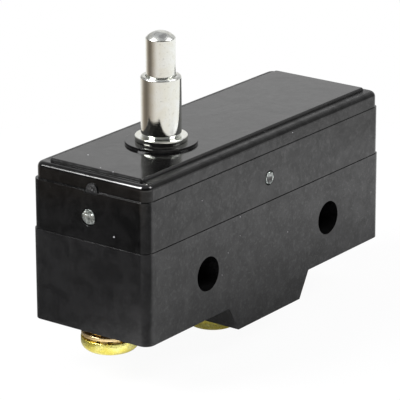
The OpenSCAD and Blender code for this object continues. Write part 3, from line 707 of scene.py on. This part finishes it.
class Blade:
    """Places along the snap blade and its half widths, from the pieces that hold it, and its sections."""

    def __init__(self):
        clamp_low, clamp_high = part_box("blade_clamp")
        contact_low, contact_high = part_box("moving_contact")
        nose_low, nose_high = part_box("inner_plunger")
        blade_low, blade_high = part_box("snap_blade")
        self.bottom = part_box("blade_spacer")[1].z
        self.top = clamp_low.z
        self.middle = (self.bottom + self.top) / 2
        self.thickness = self.top - self.bottom
        self.root_half = clamp_high.y
        self.leg_half = MIDDLE_LEG_WIDTH / 2
        self.full_half = blade_high.y
        self.root_x = blade_low.x
        self.clamp_x = clamp_high.x
        self.leg_x = self.clamp_x + self.root_half - self.leg_half
        self.nose_x = nose_low.x
        self.plunger_x = (nose_low.x + nose_high.x) / 2
        self.contact_x = (contact_low.x + contact_high.x) / 2
        self.fork_x = self.contact_x - FORK_OFFSET
        self.tip_x = blade_high.x
        notch_x = self.plunger_x + NOTCH_OFFSET
        self.leg_start = Vector((notch_x + self.thickness, self.middle - NOTCH_DROP))
        self.leg_end = Vector((self.fork_x, self.middle))

    def half_width(self, x):
        """Half of the sheet's width at a place along it."""
        if x <= self.clamp_x:
            return self.root_half
        if x <= self.leg_x:
            return self.root_half - (x - self.clamp_x)
        if x <= self.fork_x - FORK_FILLET:
            return self.leg_half
        if x < self.fork_x:
            turn = (x - self.fork_x + FORK_FILLET) / FORK_FILLET
            return self.leg_half + (self.full_half - self.leg_half) * (1 - math.sqrt(1 - turn**2))
        if x <= self.contact_x:
            return self.full_half
        share = (x - self.contact_x) / (self.tip_x - self.contact_x)
        return self.full_half + (BLADE_TIP_WIDTH / 2 - self.full_half) * share

    def sheet_ring(self, x):
        """Section of the sheet, which has a shallow seat under the inner plunger."""
        half = self.half_width(x)
        share = min(1, abs(x - self.plunger_x) / SEAT_REACH)
        seat = SEAT_DEPTH * (1 - share**2) ** 2
        return strip_ring(x, -half, half, self.bottom - seat, self.top - seat)

    def sheet_stations(self):
        """Places along the sheet, at most a short step apart."""
        corners = [
            self.root_x,
            self.clamp_x,
            self.leg_x,
            self.fork_x - FORK_FILLET,
            self.fork_x,
            self.contact_x,
            self.tip_x,
        ]
        stations = []
        for start, end in zip(corners, corners[1:]):
            steps = max(BLADE_LEAST_STEPS, math.ceil((end - start) / BLADE_STATION))
            stations += [start + (end - start) * i / steps for i in range(steps)]
        return stations + [self.tip_x]

    def leg_ring(self, share, side):
        """Section of an outer leg, which bows up, a share of the way from its notch to the fork."""
        x, z = self.leg_start + (self.leg_end - self.leg_start) * share
        z += 4 * LEG_BOW * share * (1 - share)
        inner = self.leg_half + LEG_SLOT
        half = self.thickness / 2
        return strip_ring(x, side * inner, side * self.full_half, z - half, z + half)


def add_blade_sheet(blade, material):
    """Root, middle leg and tip of the snap blade, with a shallow seat under the inner plunger."""
    rings = [blade.sheet_ring(x) for x in blade.sheet_stations()]
    sheet = new_piece("snap_blade_sheet", [rings], material)
    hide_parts("snap_blade")
    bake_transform(sheet)


def add_blade_legs(blade, material):
    """Outer legs of the snap blade, bowed up from their notches to the fork."""
    steps = math.ceil((blade.leg_end.x - blade.leg_start.x) / BLADE_STATION)
    rows = [[blade.leg_ring(i / steps, side) for i in range(steps + 1)] for side in (-1, 1)]
    legs = new_piece("snap_blade_legs", rows, material)
    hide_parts("snap_blade")
    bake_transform(legs)


def add_blade(materials):
    """Snap blade, as a sheet and two bowed legs."""
    blade = Blade()
    add_blade_sheet(blade, materials["blade_bronze"])
    add_blade_legs(blade, materials["blade_bronze"])


def direction(heading, height=0.0):
    """Unit vector towards a heading and a height in degrees."""
    across = math.radians(heading)
    upward = math.radians(height)
    level = math.cos(upward)
    return Vector((math.cos(across) * level, math.sin(across) * level, math.sin(upward)))


def directly_seen(graph, rays):
    """1 where the camera looks straight or through glass, and 0 in reflections and light."""
    return graph.larger(rays["Is Camera Ray"], rays["Is Transmission Ray"])


def floor_reflection(graph, position):
    """Tone of the floor in reflections, which changes towards some sides."""
    tone = FLOOR_TONE
    for heading, begin, end, light in FLOOR_SHADES:
        along = graph.vector("DOT_PRODUCT", position, direction(heading))["Value"]
        tone = graph.times(tone, graph.remap(along, (begin, end), (1.0, light)))
    return graph.arithmetic("MINIMUM", tone, 1.0)


def glow_under_case(graph, position):
    """Glow of the floor in reflections, under the case only."""
    parts = graph.axes(position)
    strength = graph.remap(parts["X"], GLOW_CHANGE, (END_GLOW, MIDDLE_GLOW))
    along = graph.remap(graph.arithmetic("ABSOLUTE", parts["X"]), GLOW_END, (strength, 0.0))
    return graph.remap(graph.arithmetic("ABSOLUTE", parts["Y"]), GLOW_SIDE, (along, 0.0))


def floor_material():
    """White floor with the case's shadow, which has other shades in reflections and is clear from below."""
    material, graph, shader = new_material("floor_white")
    material.node_tree.nodes.remove(shader)
    rays = graph.add("ShaderNodeLightPath").outputs
    geometry = graph.add("ShaderNodeNewGeometry").outputs
    position = geometry["Position"]
    mirrored = rays["Is Glossy Ray"]
    tone = graph.blend(mirrored, grey(FLOOR_TONE), floor_reflection(graph, position))
    matte = graph.add("ShaderNodeBsdfDiffuse", {"Color": tone}).outputs[0]
    glow = graph.add("ShaderNodeEmission", {"Color": WHITE}).outputs[0]
    clear = graph.add("ShaderNodeBsdfTransparent").outputs[0]
    seen_glow = graph.times(directly_seen(graph, rays), FLOOR_GLOW)
    share = graph.larger(seen_glow, graph.times(mirrored, glow_under_case(graph, position)))
    lit = graph.add("ShaderNodeMixShader", {0: share, 1: matte, 2: glow}).outputs[0]
    shown = graph.add("ShaderNodeMixShader", {0: geometry["Backfacing"], 1: lit, 2: clear}).outputs[0]
    graph.feed(material.node_tree.nodes["Material Output"].inputs["Surface"], shown)
    return material


def add_floor(lowest):
    """Round white floor just under the lowest screw, seen from above only."""
    shape = bmesh.new()
    bmesh.ops.create_circle(shape, cap_ends=True, segments=FLOOR_SEGMENTS, radius=FLOOR_RADIUS)
    mesh = bpy.data.meshes.new("floor")
    shape.to_mesh(mesh)
    shape.free()
    mesh.materials.append(floor_material())
    floor = bpy.data.objects.new("floor", mesh)
    floor.location.z = lowest - FLOOR_GAP
    bpy.context.scene.collection.objects.link(floor)


def light_round(graph, turn, stops, warmth):
    """Light at each angle round from the backdrop, from stops of degrees and light.

    A warmth tints it where it is dim.
    """
    ramp = graph.add("ShaderNodeValToRGB", {0: turn})
    elements = ramp.color_ramp.elements
    while len(elements) < len(stops):
        elements.new(0.5)
    for element, (degrees, light) in zip(elements, stops):
        element.position = degrees / 360
        tint = warmth * (1 - light)
        element.color = (light * (1 + tint), light, light * (1 - tint), 1.0)
    return ramp.outputs["Color"]


def set_world():
    """Surroundings: white backdrop and floor, dark room on the camera's side, plain white to the camera."""
    world = bpy.data.worlds.new("studio")
    bpy.context.scene.world = world
    world.use_nodes = True
    graph = Graph(world.node_tree)
    parts = graph.axes(graph.add("ShaderNodeTexCoord").outputs["Generated"])
    heading = graph.arithmetic("ARCTAN2", parts["Y"], parts["X"])
    from_backdrop = graph.arithmetic("SUBTRACT", heading, BACKDROP_HEADING)
    turn = graph.arithmetic("FRACT", graph.arithmetic("DIVIDE", from_backdrop, math.tau))
    ground = light_round(graph, turn, GROUND_LIGHT, GROUND_WARMTH)
    sky = light_round(graph, turn, SKY_LIGHT, 0.0)
    walls = graph.blend(graph.remap(parts["Z"], HORIZON), ground, sky)
    light = graph.blend(graph.remap(parts["Z"], ZENITH), walls, grey(ZENITH_LIGHT))
    rays = graph.add("ShaderNodeLightPath").outputs
    background = world.node_tree.nodes["Background"]
    graph.feed(background.inputs["Color"], graph.blend(directly_seen(graph, rays), light, WHITE))


def add_softbox(name, heading, height, distance, width, length, radiance):
    """Oblong lamp that faces the case from a heading and a height, with its length upright."""
    lamp = bpy.data.lights.new(name, "AREA")
    lamp.shape = "RECTANGLE"
    lamp.size = width
    lamp.size_y = length
    lamp.energy = radiance * math.pi * width * length
    toward = direction(heading, height)
    softbox = bpy.data.objects.new(name, lamp)
    softbox.location = toward * distance
    softbox.rotation_euler = toward.to_track_quat("Z", "Y").to_euler()
    bpy.context.scene.collection.objects.link(softbox)


def add_camera():
    """Camera at the photograph's view."""
    level = math.cos(CAMERA_ELEVATION)
    across = math.cos(CAMERA_AZIMUTH)
    along = math.sin(CAMERA_AZIMUTH)
    back = Vector((along * level, -across * level, math.sin(CAMERA_ELEVATION)))
    right = Vector((across, along, 0.0))
    up = back.cross(right)
    tilted_right = math.cos(CAMERA_ROLL) * right + math.sin(CAMERA_ROLL) * up
    tilted_up = math.cos(CAMERA_ROLL) * up - math.sin(CAMERA_ROLL) * right
    lens = bpy.data.cameras.new("camera")
    lens.lens = CAMERA_LENS
    lens.sensor_width = SENSOR_WIDTH
    camera = bpy.data.objects.new("camera", lens)
    turn = Matrix((tilted_right, tilted_up, back)).transposed().to_4x4()
    camera.matrix_world = Matrix.Translation(CAMERA_AIM + back * CAMERA_DISTANCE) @ turn
    bpy.context.scene.collection.objects.link(camera)
    bpy.context.scene.camera = camera


clear_scene()
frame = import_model()
solid_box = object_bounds()
bpy.context.scene.view_settings.view_transform = "Standard"
add_camera()
set_world()
for softbox in SOFTBOXES:
    add_softbox(*softbox)
add_floor(solid_box[0].z)
materials = make_materials()
dress_solids(frame, materials)
add_spring(materials)
add_blade(materials)
